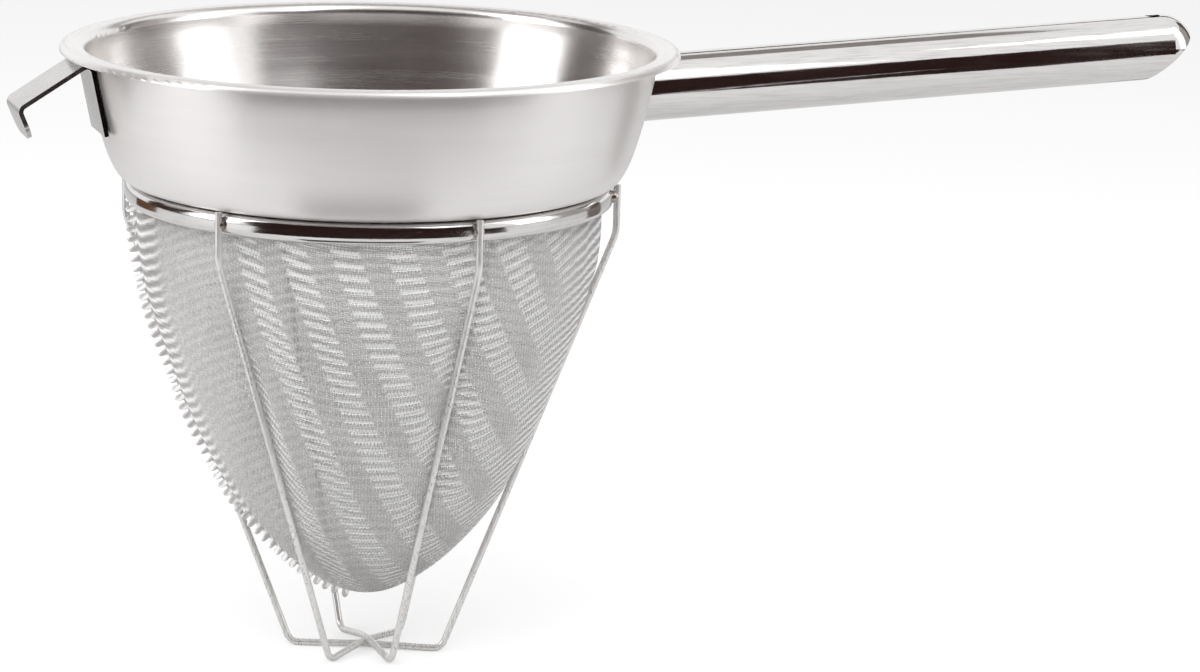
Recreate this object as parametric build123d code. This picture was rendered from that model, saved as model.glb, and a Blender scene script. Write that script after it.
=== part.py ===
from build123d import *
import math
import os

# Chinois strainer: z up, origin at the centre of the mouth on the plane of the brim's crest.
# The handle points along +x and the pot hook along -x. Sizes are in mm and degrees.

# Bowl, a spun sheet
sheet_thickness = 1.0
brim_outer_radius = 108.0
brim_width = 8.1
brim_lip_radius = 2.2
brim_root_radius = 3.5
wall_taper = 11.5
wall_end_depth = 44.6
wall_depth_shares = (0.207, 0.4, 0.596, 0.79)
wall_drop_shares = (0.104, 0.252, 0.435, 0.64)
wall_end_lean = 35.0
bottom_bend_radius = 6.0
neck_inset = 8.5
neck_bend_radius = 1.0
neck_length = 6.4

# Gap between layers that lie on each other
layer_gap = 0.3

# Clamp ring, a half-round channel
ring_bulge = 3.8
ring_sheet = 0.8

# Bag of two woven layers
support_thickness = 0.8
fine_thickness = 0.5
fine_collar_drop = 1.2
bag_depth = 142.0
bag_collar_tail = 0.8
bag_set_in = 0.25
bag_depth_shares = (0.071, 0.177, 0.318, 0.466, 0.614, 0.719, 0.79, 0.846, 0.902, 0.945, 0.98, 1.0)
bag_radius_shares = (0.994, 0.97, 0.902, 0.811, 0.703, 0.604, 0.522, 0.441, 0.346, 0.255, 0.16, 0.06)

# Hoop inside the ring, with the outer layer's edge folded over it
hoop_radius = 0.65
hem_gap = 0.45
hem_tail = 0.5

# Folded seam down the bag
seam_turn = 168.0
seam_height = 3.2
seam_thickness = 1.6
seam_root_depth = 0.5

# Guard of three bent wires
guard_wire_radius = 1.2
guard_turns = (157.0, 219.3, 279.3)
guard_top_rise = 0.2
guard_bend_depth = 64.0
guard_bend_radius = 14.0
guard_foot_radii = (27.5, 22.0, 22.0)
guard_bag_gap = 0.33
leg_valley_reach = 7.5
points_between_legs = 12
guard_foot_clearance = 21.7
guard_elbow_radius = 4.5
guard_cross_rise = 0.7
guard_cross_step = 1.5
guard_cross_bend = 30.0
tack_radius = 2.1

# Handle, a round tube with a rounded nose cut on a slant
handle_radius = 12.0
handle_sheet = 1.2
handle_axis_drop = 18.7
handle_tilt = 2.7
handle_length = 221.7
nose_length = 11.5
nose_cut_height = 5.7
nose_cut_slant = 43.0
hang_hole_radius = 2.75
hang_hole_setback = 14.0
weld_leg = 1.0

# Pot hook, a bent strap
strap_thickness = 1.5
strap_width = 23.6
strap_bend_radius = 2.3
strap_seat_bite = 0.25
flange_foot_depth = 28.0
flange_mid_depth = 16.0
flange_lean = 0.2
arm_root_depth = 2.6
arm_reach = 24.6
arm_drop = 15.2
lip_reach = 4.2
lip_drop = 10.6
lip_corner_radius = 6.0

# Length by which a cutting body passes clear through
overrun = 30.0

# Parts of a turn
quarter_turn = 90
half_turn = 180

# Levels and radii that follow from the sizes above
wall_top_radius = brim_outer_radius - brim_width
wall_end_radius = wall_top_radius - wall_taper
neck_radius = wall_end_radius - neck_inset
brim_root_centre = wall_top_radius + brim_root_radius - sheet_thickness
brim_lip_centre = brim_outer_radius - brim_lip_radius
wall_lean = math.radians(wall_end_lean)
shoulder_radius = wall_end_radius - bottom_bend_radius * math.cos(wall_lean)
shoulder_depth = wall_end_depth + bottom_bend_radius * (1 - math.sin(wall_lean))
neck_foot_depth = shoulder_depth + neck_bend_radius + neck_length
fine_collar_radius = neck_radius + layer_gap + fine_thickness
collar_radius = fine_collar_radius + layer_gap + support_thickness
ring_radius = collar_radius + layer_gap
ring_depth = shoulder_depth + layer_gap + ring_bulge
ring_outer_radius = ring_radius + ring_bulge
bag_start_depth = ring_depth + ring_bulge + bag_collar_tail
hem_bend_radius = hoop_radius + hem_gap
hoop_centre = collar_radius + hem_bend_radius
guard_radius = ring_outer_radius + guard_wire_radius
guard_top_depth = shoulder_depth - guard_top_rise
guard_foot_depth = bag_start_depth + bag_depth + guard_foot_clearance
guard_cross_depth = guard_foot_depth - guard_cross_rise
nose_start = handle_length - nose_length
tip_reach = nose_start + nose_length * math.sqrt(1 - (nose_cut_height / handle_radius) ** 2)

down = (0, -1)
outward = (1, 0)


# Body of revolution about z from a closed outline drawn in radius and height
def turned(lines):
    return revolve(Plane.XZ * make_face(lines), Axis.Z)


# Rounded corner from start to end about a centre
def corner(centre, start, end):
    middle = Vector(*start) + Vector(*end) - Vector(*centre) - Vector(*centre)
    middle = Vector(*centre) + middle.normalized() * math.dist(centre, start)
    return ThreePointArc(start, (middle.X, middle.Y), end)


# Points moved along the normal on the left of their run
def shifted(points, distance, first_normal, last_normal):
    moved = []
    for index, point in enumerate(points):
        if index == 0:
            normal = Vector(*first_normal)
        elif index == len(points) - 1:
            normal = Vector(*last_normal)
        else:
            run = Vector(*points[index + 1]) - Vector(*points[index - 1])
            normal = Vector(-run.Y, run.X).normalized()
        place = Vector(*point) + normal * distance
        moved.append((place.X, place.Y))
    return moved


# Straight runs joined by round bends, drawn in radius and height and stood up on the xz plane
def bent_path(points, radii):
    edges = []
    last = Vector(*points[0])
    for before, point, after, radius in zip(points, points[1:], points[2:], radii):
        spot = Vector(*point)
        run_in = (spot - Vector(*before)).normalized()
        run_out = (Vector(*after) - spot).normalized()
        half_bend = math.acos(run_in.dot(run_out)) / 2
        start = spot - run_in * radius * math.tan(half_bend)
        end = spot + run_out * radius * math.tan(half_bend)
        middle = spot + (run_out - run_in).normalized() * radius * (1 / math.cos(half_bend) - 1)
        edges.append(Line(last, start))
        edges.append(ThreePointArc(start, middle, end))
        last = end
    edges.append(Line(last, Vector(*points[-1])))
    return Plane.XZ * Wire(edges)


# Outer face of the wall from the brim's root to the start of the bottom bend
def wall_points():
    depth_span = wall_end_depth - brim_root_radius
    drop_span = wall_top_radius - wall_end_radius
    points = [(wall_top_radius, -brim_root_radius)]
    for depth_share, drop_share in zip(wall_depth_shares, wall_drop_shares):
        points.append((wall_top_radius - drop_span * drop_share, -brim_root_radius - depth_span * depth_share))
    points.append((wall_end_radius, -wall_end_depth))
    return points


# Radius of the wall's outer face at a depth between the points above
def wall_radius(depth):
    for upper, lower in zip(wall_points(), wall_points()[1:]):
        if -upper[1] <= depth <= -lower[1]:
            share = (depth + upper[1]) / (upper[1] - lower[1])
            return upper[0] + (lower[0] - upper[0]) * share


# Wall spline at a distance outside the wall's outer face
def wall_line(distance):
    last_normal = (math.cos(wall_lean), -math.sin(wall_lean))
    last_run = (-math.sin(wall_lean), -math.cos(wall_lean))
    points = shifted(wall_points(), distance, outward, last_normal)
    return Spline(*points, tangents=(down, last_run))


# Point on the bottom bend where the wall ends, at a radius about the bend's centre
def wall_foot(radius):
    height = -shoulder_depth + bottom_bend_radius
    return (shoulder_radius + radius * math.cos(wall_lean), height - radius * math.sin(wall_lean))


# Spun bowl: rolled brim, tapering wall, round bottom and a neck
def bowl():
    lip = (brim_lip_centre, -brim_lip_radius)
    root = (brim_root_centre, -brim_root_radius)
    bend = (shoulder_radius, -shoulder_depth + bottom_bend_radius)
    turn = (neck_radius + neck_bend_radius, -shoulder_depth - neck_bend_radius)
    outer_lip = (brim_outer_radius - sheet_thickness, -brim_lip_radius)
    outer_brim = (brim_lip_centre, -sheet_thickness)
    outer_root = (brim_root_centre, -sheet_thickness)
    outer_wall = (wall_top_radius, -brim_root_radius)
    outer_shoulder = (shoulder_radius, -shoulder_depth)
    outer_turn = (neck_radius + neck_bend_radius, -shoulder_depth)
    outer_neck = (neck_radius, -shoulder_depth - neck_bend_radius)
    outer_foot = (neck_radius, -neck_foot_depth)
    inner_foot = (neck_radius - sheet_thickness, -neck_foot_depth)
    inner_neck = (neck_radius - sheet_thickness, -shoulder_depth - neck_bend_radius)
    inner_turn = (neck_radius + neck_bend_radius, -shoulder_depth + sheet_thickness)
    inner_shoulder = (shoulder_radius, -shoulder_depth + sheet_thickness)
    inner_end = wall_foot(bottom_bend_radius - sheet_thickness)
    inner_wall = (wall_top_radius - sheet_thickness, -brim_root_radius)
    inner_root = (brim_root_centre, 0)
    inner_brim = (brim_lip_centre, 0)
    inner_lip = (brim_outer_radius, -brim_lip_radius)
    lines = [corner(lip, outer_lip, outer_brim), Line(outer_brim, outer_root)]
    lines += [corner(root, outer_root, outer_wall), wall_line(0)]
    lines += [corner(bend, wall_foot(bottom_bend_radius), outer_shoulder), Line(outer_shoulder, outer_turn)]
    lines += [corner(turn, outer_turn, outer_neck), Line(outer_neck, outer_foot)]
    lines += [Line(outer_foot, inner_foot), Line(inner_foot, inner_neck)]
    lines += [corner(turn, inner_neck, inner_turn), Line(inner_turn, inner_shoulder)]
    lines += [corner(bend, inner_shoulder, inner_end), wall_line(-sheet_thickness)]
    lines += [corner(root, inner_wall, inner_root), Line(inner_root, inner_brim)]
    lines += [corner(lip, inner_brim, inner_lip), Line(inner_lip, outer_lip)]
    return turned(lines)


# Solid plug that fills the wall out to a distance outside its outer face
def wall_plug(distance):
    line = wall_line(distance)
    top = (line @ 0).Y
    foot = (line @ 1).Y
    lines = [line, Line(line @ 1, (0, foot)), Line((0, foot), (0, top)), Line((0, top), line @ 0)]
    return turned(lines)


# Half-round channel pressed on round the collar of the bag
def clamp_ring():
    hollow = ring_bulge - ring_sheet
    top = (ring_radius, ring_bulge - ring_depth)
    side = (ring_outer_radius, -ring_depth)
    foot = (ring_radius, -ring_bulge - ring_depth)
    inner_top = (ring_radius, hollow - ring_depth)
    inner_side = (ring_radius + hollow, -ring_depth)
    inner_foot = (ring_radius, -hollow - ring_depth)
    lines = [ThreePointArc(top, side, foot), Line(foot, inner_foot)]
    lines += [ThreePointArc(inner_foot, inner_side, inner_top), Line(inner_top, top)]
    return turned(lines)


# The ring without its hollow
def ring_plug():
    top = (ring_radius, ring_bulge - ring_depth)
    side = (ring_outer_radius, -ring_depth)
    foot = (ring_radius, -ring_bulge - ring_depth)
    return turned([ThreePointArc(top, side, foot), Line(foot, top)])


# Wire hoop inside the ring
def mesh_hoop():
    return revolve(Plane.XZ * Pos(hoop_centre, -ring_depth) * Circle(hoop_radius), Axis.Z)


# Outer face of the bag from its collar, where it starts a little further in, to its tip
def bag_points():
    points = [(collar_radius - bag_set_in, -bag_start_depth)]
    for depth_share, radius_share in zip(bag_depth_shares, bag_radius_shares):
        points.append((collar_radius * radius_share, -bag_start_depth - bag_depth * depth_share))
    return points


# Turns of all the legs in order, with the foot radius of each
def legs():
    both = []
    for side in (0, half_turn):
        both += [(turn + side, foot_radius) for turn, foot_radius in zip(guard_turns, guard_foot_radii)]
    return both


# Depth of the valley that a leg presses into the bag at a radius and height, below a face at a depth
def valley_depth(radius, height, foot_radius, depth):
    drop = -height - guard_bend_depth
    if drop < 0:
        return 0
    lean = math.atan2(guard_radius - foot_radius, guard_foot_depth - guard_bend_depth)
    reach = (guard_wire_radius + guard_bag_gap + depth) / math.cos(lean)
    return max(0, radius - guard_radius + drop * math.tan(lean) + reach)


# Closed line round the bag at a radius and height, with a valley at each leg
def bag_section(radius, height, depth):
    points = []
    angles = []
    turns = legs()
    after_turns = turns[1:] + [(turns[0][0] + 2 * half_turn, turns[0][1])]
    for (turn, foot_radius), (next_turn, next_foot) in zip(turns, after_turns):
        valley = valley_depth(radius, height, foot_radius, depth)
        next_valley = valley_depth(radius, height, next_foot, depth)
        for step in range(points_between_legs):
            share = step / points_between_legs
            past = radius * math.radians(next_turn - turn) * share / leg_valley_reach
            left = radius * math.radians(next_turn - turn) * (1 - share) / leg_valley_reach
            reach = radius - valley * math.exp(-past * past) - next_valley * math.exp(-left * left)
            angle = math.radians(turn + (next_turn - turn) * share)
            angles.append(angle)
            points.append((reach * math.cos(angle), reach * math.sin(angle), height))
    angles.append(math.radians(after_turns[-1][0]))
    return Wire(Edge.make_spline(points, periodic=True, parameters=angles))


# The bag filled solid inside a face at a depth below its outer face
def bag_plug(depth):
    places = shifted(bag_points(), -depth, outward, down)
    sections = [bag_section(radius, height, depth) for radius, height in places]
    return Solid.make_loft(sections)


# Coarse outer layer of the bag, with its edge folded over the hoop
def support_mesh():
    outer_start = (collar_radius, -bag_start_depth)
    inner_start = (collar_radius - support_thickness, -bag_start_depth)
    hem_root = (collar_radius, -ring_depth)
    hem_crown = (hoop_centre, hem_bend_radius - ring_depth)
    hem_side = (hoop_centre + hem_bend_radius, -ring_depth)
    tail_inner = (hoop_centre + hem_bend_radius, -ring_depth - hem_tail)
    tail_outer = (hoop_centre + hem_bend_radius + support_thickness, -ring_depth - hem_tail)
    hem_outer_side = (hoop_centre + hem_bend_radius + support_thickness, -ring_depth)
    hem_outer_crown = (hoop_centre, hem_bend_radius + support_thickness - ring_depth)
    hem_outer_root = (collar_radius - support_thickness, -ring_depth)
    lines = [Line(outer_start, inner_start), Line(inner_start, hem_outer_root)]
    lines += [ThreePointArc(hem_outer_root, hem_outer_crown, hem_outer_side), Line(hem_outer_side, tail_outer)]
    lines += [Line(tail_outer, tail_inner), Line(tail_inner, hem_side)]
    lines += [ThreePointArc(hem_side, hem_crown, hem_root), Line(hem_root, outer_start)]
    bag = bag_plug(0) - bag_plug(support_thickness)
    return (bag + turned(lines)).solid()


# Fine inner layer of the bag, with its collar outside the neck
def fine_mesh():
    depth = support_thickness + layer_gap
    collar_depth = shoulder_depth + fine_collar_drop
    outer_top = (fine_collar_radius, -collar_depth)
    inner_top = (fine_collar_radius - fine_thickness, -collar_depth)
    outer_foot = (fine_collar_radius, -bag_start_depth)
    inner_foot = (fine_collar_radius - fine_thickness, -bag_start_depth)
    lines = [Line(outer_foot, inner_foot), Line(inner_foot, inner_top)]
    lines += [Line(inner_top, outer_top), Line(outer_top, outer_foot)]
    bag = bag_plug(depth) - bag_plug(depth + fine_thickness)
    return (bag + turned(lines)).solid()


# Folded seam that stands up along one side of the bag and stops short of its tip
def mesh_seam():
    outer_points = shifted(bag_points(), seam_height, outward, down)[:-1]
    inner_points = shifted(bag_points(), -seam_root_depth, outward, down)[:-1]
    outer = Spline(*outer_points)
    inner = Spline(*inner_points)
    lines = [outer, Line(outer @ 1, inner @ 1), inner, Line(inner @ 0, outer @ 0)]
    fin = extrude(Plane.XZ * make_face(lines), seam_thickness / 2, both=True)
    return Rot(Z=seam_turn) * fin - bag_plug(0)


# One bent wire of the guard, with a leg at each end and a crossing at the middle
def guard_wire(number):
    cross_depth = guard_cross_depth - guard_cross_step * number
    leg = [(guard_radius, -guard_top_depth), (guard_radius, -guard_bend_depth)]
    leg.append((guard_foot_radii[number], -guard_foot_depth))
    back = [(-radius, height) for radius, height in reversed(leg)]
    radii = [guard_bend_radius, guard_elbow_radius, guard_cross_bend, guard_elbow_radius, guard_bend_radius]
    path = bent_path(leg + [(0, -cross_depth)] + back, radii)
    section = Plane(origin=path @ 0, z_dir=path % 0) * Circle(guard_wire_radius)
    return Rot(Z=guard_turns[number]) * sweep(section, path)


# Weld tacks that hold the legs to the ring
def guard_tacks(wires):
    tacks = []
    for side in (0, half_turn):
        for turn, wire in zip(guard_turns, wires):
            bead = Pos(ring_outer_radius, 0, -ring_depth) * Sphere(tack_radius) - ring_plug()
            bead = Rot(Z=turn + side) * bead
            tacks.append((bead - wire).solid())
    return Compound(children=tacks)


# Round bar with a rounded nose, in the handle's own frame with the axis along x
def nosed_bar(radius, start, end):
    nose = EllipticalCenterArc((nose_start, 0), end - nose_start, radius, arc_size=quarter_turn)
    lines = [Line((start, 0), (start, radius)), Line((start, radius), (nose_start, radius))]
    lines += [nose, Line((end, 0), (start, 0))]
    return revolve(make_face(lines), Axis.X)


# Place of the handle's own frame on the bowl
def handle_place():
    return Pos(wall_radius(handle_axis_drop), 0, -handle_axis_drop) * Rot(Y=-handle_tilt)


# Tube handle, cut to the wall at its root and on a slant at its nose
def handle_tube():
    shell = nosed_bar(handle_radius, -overrun, handle_length)
    shell -= nosed_bar(handle_radius - handle_sheet, -overrun, handle_length - handle_sheet)
    cutter = Box(overrun * 2, overrun * 2, overrun * 2, align=(Align.MIN, Align.CENTER, Align.MAX))
    shell -= Pos(tip_reach, 0, nose_cut_height) * Rot(Y=-nose_cut_slant) * Pos(-overrun, 0, 0) * cutter
    hole = Cylinder(hang_hole_radius, overrun, align=(Align.CENTER, Align.CENTER, Align.MIN))
    shell -= Pos(tip_reach - hang_hole_setback, 0, 0) * hole
    return (handle_place() * shell - wall_plug(0)).solids().sort_by(Axis.X)[-1]


# Weld bead round the root of the handle
def handle_weld():
    bar = nosed_bar(handle_radius + weld_leg, -overrun, handle_length)
    bar -= nosed_bar(handle_radius, -overrun, handle_length)
    bead = (handle_place() * bar) & wall_plug(weld_leg)
    return (bead - wall_plug(0)).solids().sort_by(Axis.X)[-1]


# Strap hook with its flange on the wall and its arm out over the edge of a pot
def pot_hook():
    mid_radius = wall_radius(flange_mid_depth) + strap_thickness / 2 - strap_seat_bite
    foot_radius = mid_radius - flange_lean * (flange_foot_depth - flange_mid_depth)
    root_radius = mid_radius + flange_lean * (flange_mid_depth - arm_root_depth)
    arm_end = (root_radius + arm_reach, -arm_root_depth - arm_drop)
    lip_end = (arm_end[0] - lip_reach, arm_end[1] - lip_drop)
    points = [(foot_radius, -flange_foot_depth), (root_radius, -arm_root_depth), arm_end, lip_end]
    path = bent_path(points, [strap_bend_radius, strap_bend_radius])
    section = Plane(origin=path @ 0, x_dir=(0, 1, 0), z_dir=path % 0) * Rectangle(strap_width, strap_thickness)
    strap = sweep(section, path)
    lip_edges = strap.edges().filter_by(Axis.Y, reverse=True).sort_by_distance(path @ 1)
    corners = [edge for edge in lip_edges[:4] if edge.length < strap_thickness + layer_gap]
    strap = fillet(corners[:2], lip_corner_radius)
    return Rot(Z=half_turn) * (strap - wall_plug(0)).solid()


# Write one file per piece
def write_all():
    wires = []
    for number in range(len(guard_turns)):
        wire = guard_wire(number)
        for lower in wires:
            wire -= lower
        wires.append(wire.solid())
    parts = {
        "bowl": bowl(),
        "clamp_ring": clamp_ring(),
        "mesh_hoop": mesh_hoop(),
        "support_mesh": support_mesh(),
        "fine_mesh": fine_mesh(),
        "mesh_seam": mesh_seam(),
        "guard_wire_a": wires[0],
        "guard_wire_b": wires[1],
        "guard_wire_c": wires[2],
        "guard_tacks": guard_tacks(wires),
        "handle_tube": handle_tube(),
        "handle_weld": handle_weld(),
        "pot_hook": pot_hook(),
    }
    os.makedirs("parts", exist_ok=True)
    for name, shape in parts.items():
        export_step(shape, "parts/" + name + ".step")


write_all()
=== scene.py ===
import math

import bmesh
import bpy
from mathutils import Matrix, Vector
from mathutils.bvhtree import BVHTree


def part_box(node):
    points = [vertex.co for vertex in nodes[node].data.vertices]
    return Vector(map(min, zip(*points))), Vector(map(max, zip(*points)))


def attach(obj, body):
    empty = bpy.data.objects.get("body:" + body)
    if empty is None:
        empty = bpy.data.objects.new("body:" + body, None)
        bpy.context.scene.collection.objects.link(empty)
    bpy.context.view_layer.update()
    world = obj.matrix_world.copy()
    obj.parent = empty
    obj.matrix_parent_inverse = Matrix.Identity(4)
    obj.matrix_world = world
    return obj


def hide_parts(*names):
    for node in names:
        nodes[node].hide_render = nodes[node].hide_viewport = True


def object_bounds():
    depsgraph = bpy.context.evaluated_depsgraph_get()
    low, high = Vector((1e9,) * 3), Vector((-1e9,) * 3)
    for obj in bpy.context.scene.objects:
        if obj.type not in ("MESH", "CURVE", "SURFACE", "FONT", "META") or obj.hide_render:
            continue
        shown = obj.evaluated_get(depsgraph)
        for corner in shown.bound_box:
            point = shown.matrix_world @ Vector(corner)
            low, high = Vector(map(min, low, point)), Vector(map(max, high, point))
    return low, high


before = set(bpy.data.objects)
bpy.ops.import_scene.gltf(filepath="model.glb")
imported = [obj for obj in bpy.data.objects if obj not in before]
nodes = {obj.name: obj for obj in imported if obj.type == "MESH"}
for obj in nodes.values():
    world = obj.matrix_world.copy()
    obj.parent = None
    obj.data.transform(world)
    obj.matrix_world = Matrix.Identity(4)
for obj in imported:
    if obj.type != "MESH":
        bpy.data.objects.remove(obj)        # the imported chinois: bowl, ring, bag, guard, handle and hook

scene = bpy.context.scene
cadLow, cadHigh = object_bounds()
mm = 0.001


# Node helpers

def feed(tree, socket, value):      # link a socket or set a constant
    if isinstance(value, bpy.types.NodeSocket):
        tree.links.new(value, socket)
    else:
        socket.default_value = value


def addNode(tree, kind, inputs=(), **settings):
    node = tree.nodes.new(kind)
    for name, value in settings.items():
        setattr(node, name, value)
    for key, value in dict(inputs).items():
        feed(tree, node.inputs[key], value)
    return node


def sums(tree, operation, *values):
    node = tree.nodes.new("ShaderNodeMath")
    node.operation = operation
    for socket, value in zip(node.inputs, values):
        feed(tree, socket, value)
    return node.outputs[0]


def splitVector(tree, vector):
    node = addNode(tree, "ShaderNodeSeparateXYZ", {"Vector": vector})
    return node.outputs["X"], node.outputs["Y"], node.outputs["Z"]


def joinVector(tree, x, y, z):
    return addNode(tree, "ShaderNodeCombineXYZ", {"X": x, "Y": y, "Z": z}).outputs["Vector"]


def radiusOf(tree, x, y):
    squares = sums(tree, "ADD", sums(tree, "MULTIPLY", x, x), sums(tree, "MULTIPLY", y, y))
    return sums(tree, "SQRT", squares)


def weighted(tree, first, firstWeight, second, secondWeight):
    return sums(tree, "ADD", sums(tree, "MULTIPLY", first, firstWeight), sums(tree, "MULTIPLY", second, secondWeight))


def blendStep(tree, value, low, high, start=0.0, end=1.0):      # eased ramp between two values
    inputs = {"Value": value, "From Min": low, "From Max": high, "To Min": start, "To Max": end}
    return addNode(tree, "ShaderNodeMapRange", inputs, interpolation_type="SMOOTHSTEP").outputs["Result"]


def mixColour(tree, factor, first, second):
    node = addNode(tree, "ShaderNodeMix", data_type="RGBA")
    feed(tree, node.inputs[0], factor)
    feed(tree, node.inputs[6], first)
    feed(tree, node.inputs[7], second)
    return node.outputs[2]


def newMaterial(name):
    material = bpy.data.materials.new(name)
    material.use_nodes = True
    tree = material.node_tree
    shader = tree.nodes["Principled BSDF"]
    shader.inputs["Metallic"].default_value = 1.0
    return material, tree, shader


def objectPlace(tree):
    return addNode(tree, "ShaderNodeTexCoord").outputs["Object"]


def addNoise(tree, vector, scale, detail=3.0, roughness=0.5):
    inputs = {"Vector": vector, "Scale": scale, "Detail": detail, "Roughness": roughness}
    return addNode(tree, "ShaderNodeTexNoise", inputs).outputs["Fac"]


def addBump(tree, shader, height, strength, distance):
    inputs = {"Strength": strength, "Distance": distance, "Height": height}
    bump = addNode(tree, "ShaderNodeBump", inputs)
    tree.links.new(bump.outputs["Normal"], shader.inputs["Normal"])


def addPiece(name, mesh):
    mesh.name = name
    piece = bpy.data.objects.new(name, mesh)
    scene.collection.objects.link(piece)
    print("stage:", name, len(mesh.polygons), "faces")
    return piece


# Steel finishes

satin = {
    "tone": (0.88, 0.86, 0.85, 1), "shade": (0.79, 0.77, 0.76, 1),
    "haze": 0.78,             # metallic share outside, where the steel is dullest
    "lineDensity": 2600.0,    # brush lines per metre up the wall
    "roundSpread": 1.6,       # how fast they change round the bowl
    "wideShare": 0.06,        # density of the wide bands against the fine lines
    "fineWeight": 0.55, "wideWeight": 0.45,
    "cloudScale": 22.0, "markWeight": 0.7, "cloudWeight": 0.3,
    "insideLow": 0.22, "insideHigh": 0.29,      # roughness
    "outsideLow": 0.32, "outsideHigh": 0.40,
    "brushing": 0.6, "brushTurn": 0.25,
    "relief": 0.12, "reliefDepth": 0.00006,
}


def satinSteel():      # spun sheet, brushed round and round
    material, tree, shader = newMaterial("satinSteel")
    place = objectPlace(tree)
    x, y, z = splitVector(tree, place)
    radius = radiusOf(tree, x, y)
    across = sums(tree, "MULTIPLY", sums(tree, "ADD", z, radius), satin["lineDensity"])
    aroundX = sums(tree, "MULTIPLY", sums(tree, "DIVIDE", x, radius), satin["roundSpread"])
    aroundY = sums(tree, "MULTIPLY", sums(tree, "DIVIDE", y, radius), satin["roundSpread"])
    lines = addNoise(tree, joinVector(tree, aroundX, aroundY, across), 1.0, 4.0, 0.65)
    slower = sums(tree, "MULTIPLY", across, satin["wideShare"])
    wide = addNoise(tree, joinVector(tree, aroundX, aroundY, slower), 1.0, 2.0)
    cloud = addNoise(tree, place, satin["cloudScale"])
    marks = weighted(tree, lines, satin["fineWeight"], wide, satin["wideWeight"])
    feed(tree, shader.inputs["Base Color"], mixColour(tree, marks, satin["shade"], satin["tone"]))
    tone = weighted(tree, marks, satin["markWeight"], cloud, satin["cloudWeight"])
    normal = addNode(tree, "ShaderNodeTexCoord").outputs["Normal"]
    outward = joinVector(tree, x, y, 0.0)
    facing = addNode(tree, "ShaderNodeVectorMath", {0: normal, 1: outward}, operation="DOT_PRODUCT")
    inside = sums(tree, "LESS_THAN", facing.outputs["Value"], 0.0)
    smoothest = blendStep(tree, inside, 0.0, 1.0, satin["outsideLow"], satin["insideLow"])
    roughest = blendStep(tree, inside, 0.0, 1.0, satin["outsideHigh"], satin["insideHigh"])
    feed(tree, shader.inputs["Roughness"], blendStep(tree, tone, 0.3, 0.7, roughest, smoothest))
    feed(tree, shader.inputs["Metallic"], blendStep(tree, inside, 0.0, 1.0, satin["haze"], 1.0))
    shader.inputs["Anisotropic"].default_value = satin["brushing"]
    shader.inputs["Anisotropic Rotation"].default_value = satin["brushTurn"]
    tangent = addNode(tree, "ShaderNodeTangent", direction_type="RADIAL", axis="Z")
    tree.links.new(tangent.outputs["Tangent"], shader.inputs["Tangent"])
    addBump(tree, shader, lines, satin["relief"], satin["reliefDepth"])
    return material


bright = {
    "smudgeScale": 38.0, "shade": 0.86,      # tone of the darkest lines against the brightest
    "relief": 0.25, "reliefDepth": 0.00003,
}


def brightSteel(name, tone, roughLow, roughHigh, stretch, grainScale, wear=0.0):
    # polished or drawn steel: faint lines along one direction, and smudges
    material, tree, shader = newMaterial(name)
    place = objectPlace(tree)
    mapped = addNode(tree, "ShaderNodeMapping", {"Vector": place, "Scale": stretch}).outputs["Vector"]
    lines = addNoise(tree, mapped, grainScale, 3.0, 0.6)
    smudge = addNoise(tree, place, bright["smudgeScale"], 4.0, 0.55)
    dark = tuple(channel * (bright["shade"] - wear) for channel in tone) + (1,)
    feed(tree, shader.inputs["Base Color"], mixColour(tree, blendStep(tree, lines, 0.3, 0.6), dark, tone + (1,)))
    mixed = weighted(tree, lines, 0.5, smudge, 0.5)
    feed(tree, shader.inputs["Roughness"], blendStep(tree, mixed, 0.35, 0.65, roughLow, roughHigh))
    addBump(tree, shader, lines, bright["relief"], bright["reliefDepth"])
    return material


bead = {
    "plain": (0.55, 0.53, 0.51, 1), "straw": (0.40, 0.32, 0.25, 1), "rippleScale": 900.0, "heatScale": 160.0,
    "smoothest": 0.22, "roughest": 0.42, "relief": 0.6, "reliefDepth": 0.0002,
}


def weldSteel():      # a bead with ripples and heat colours
    material, tree, shader = newMaterial("weldSteel")
    place = objectPlace(tree)
    ripples = addNoise(tree, place, bead["rippleScale"], 2.0)
    heat = blendStep(tree, addNoise(tree, place, bead["heatScale"], 2.0), 0.35, 0.7)
    feed(tree, shader.inputs["Base Color"], mixColour(tree, heat, bead["plain"], bead["straw"]))
    rough = blendStep(tree, ripples, 0.3, 0.7, bead["smoothest"], bead["roughest"])
    feed(tree, shader.inputs["Roughness"], rough)
    addBump(tree, shader, ripples, bead["relief"], bead["reliefDepth"])
    return material


def hazed(material, metallic):      # drawn wire, less mirror-like than the polished parts
    material.node_tree.nodes["Principled BSDF"].inputs["Metallic"].default_value = metallic
    return material


strap = {
    "halfWidth": 11.7 * mm, "seatX": -103.5 * mm,      # past these lie its edges, and the part against the wall
    # the two tones below are painted shade: grey on the arm's side faces, near black as a painted shadow of the gap
    # where the flange lies on the wall
    "edgeShadeTone": (0.30, 0.27, 0.26, 1), "wallGapShadow": (0.035, 0.028, 0.028, 1),
}


def darkEdges(material):      # painted shade on the strap's side faces, darkest where a painted shadow of the gap lies against the wall
    tree = material.node_tree
    shader = tree.nodes["Principled BSDF"]
    x, y, z = splitVector(tree, objectPlace(tree))
    edge = sums(tree, "GREATER_THAN", sums(tree, "ABSOLUTE", y), strap["halfWidth"])
    onWall = sums(tree, "GREATER_THAN", x, strap["seatX"])
    # painted shade on the side faces, and painted shadow of the gap against the wall
    paintedShade = mixColour(tree, onWall, strap["edgeShadeTone"], strap["wallGapShadow"])
    base = shader.inputs["Base Color"].links[0].from_socket
    feed(tree, shader.inputs["Base Color"], mixColour(tree, edge, base, paintedShade))
    return material


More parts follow.
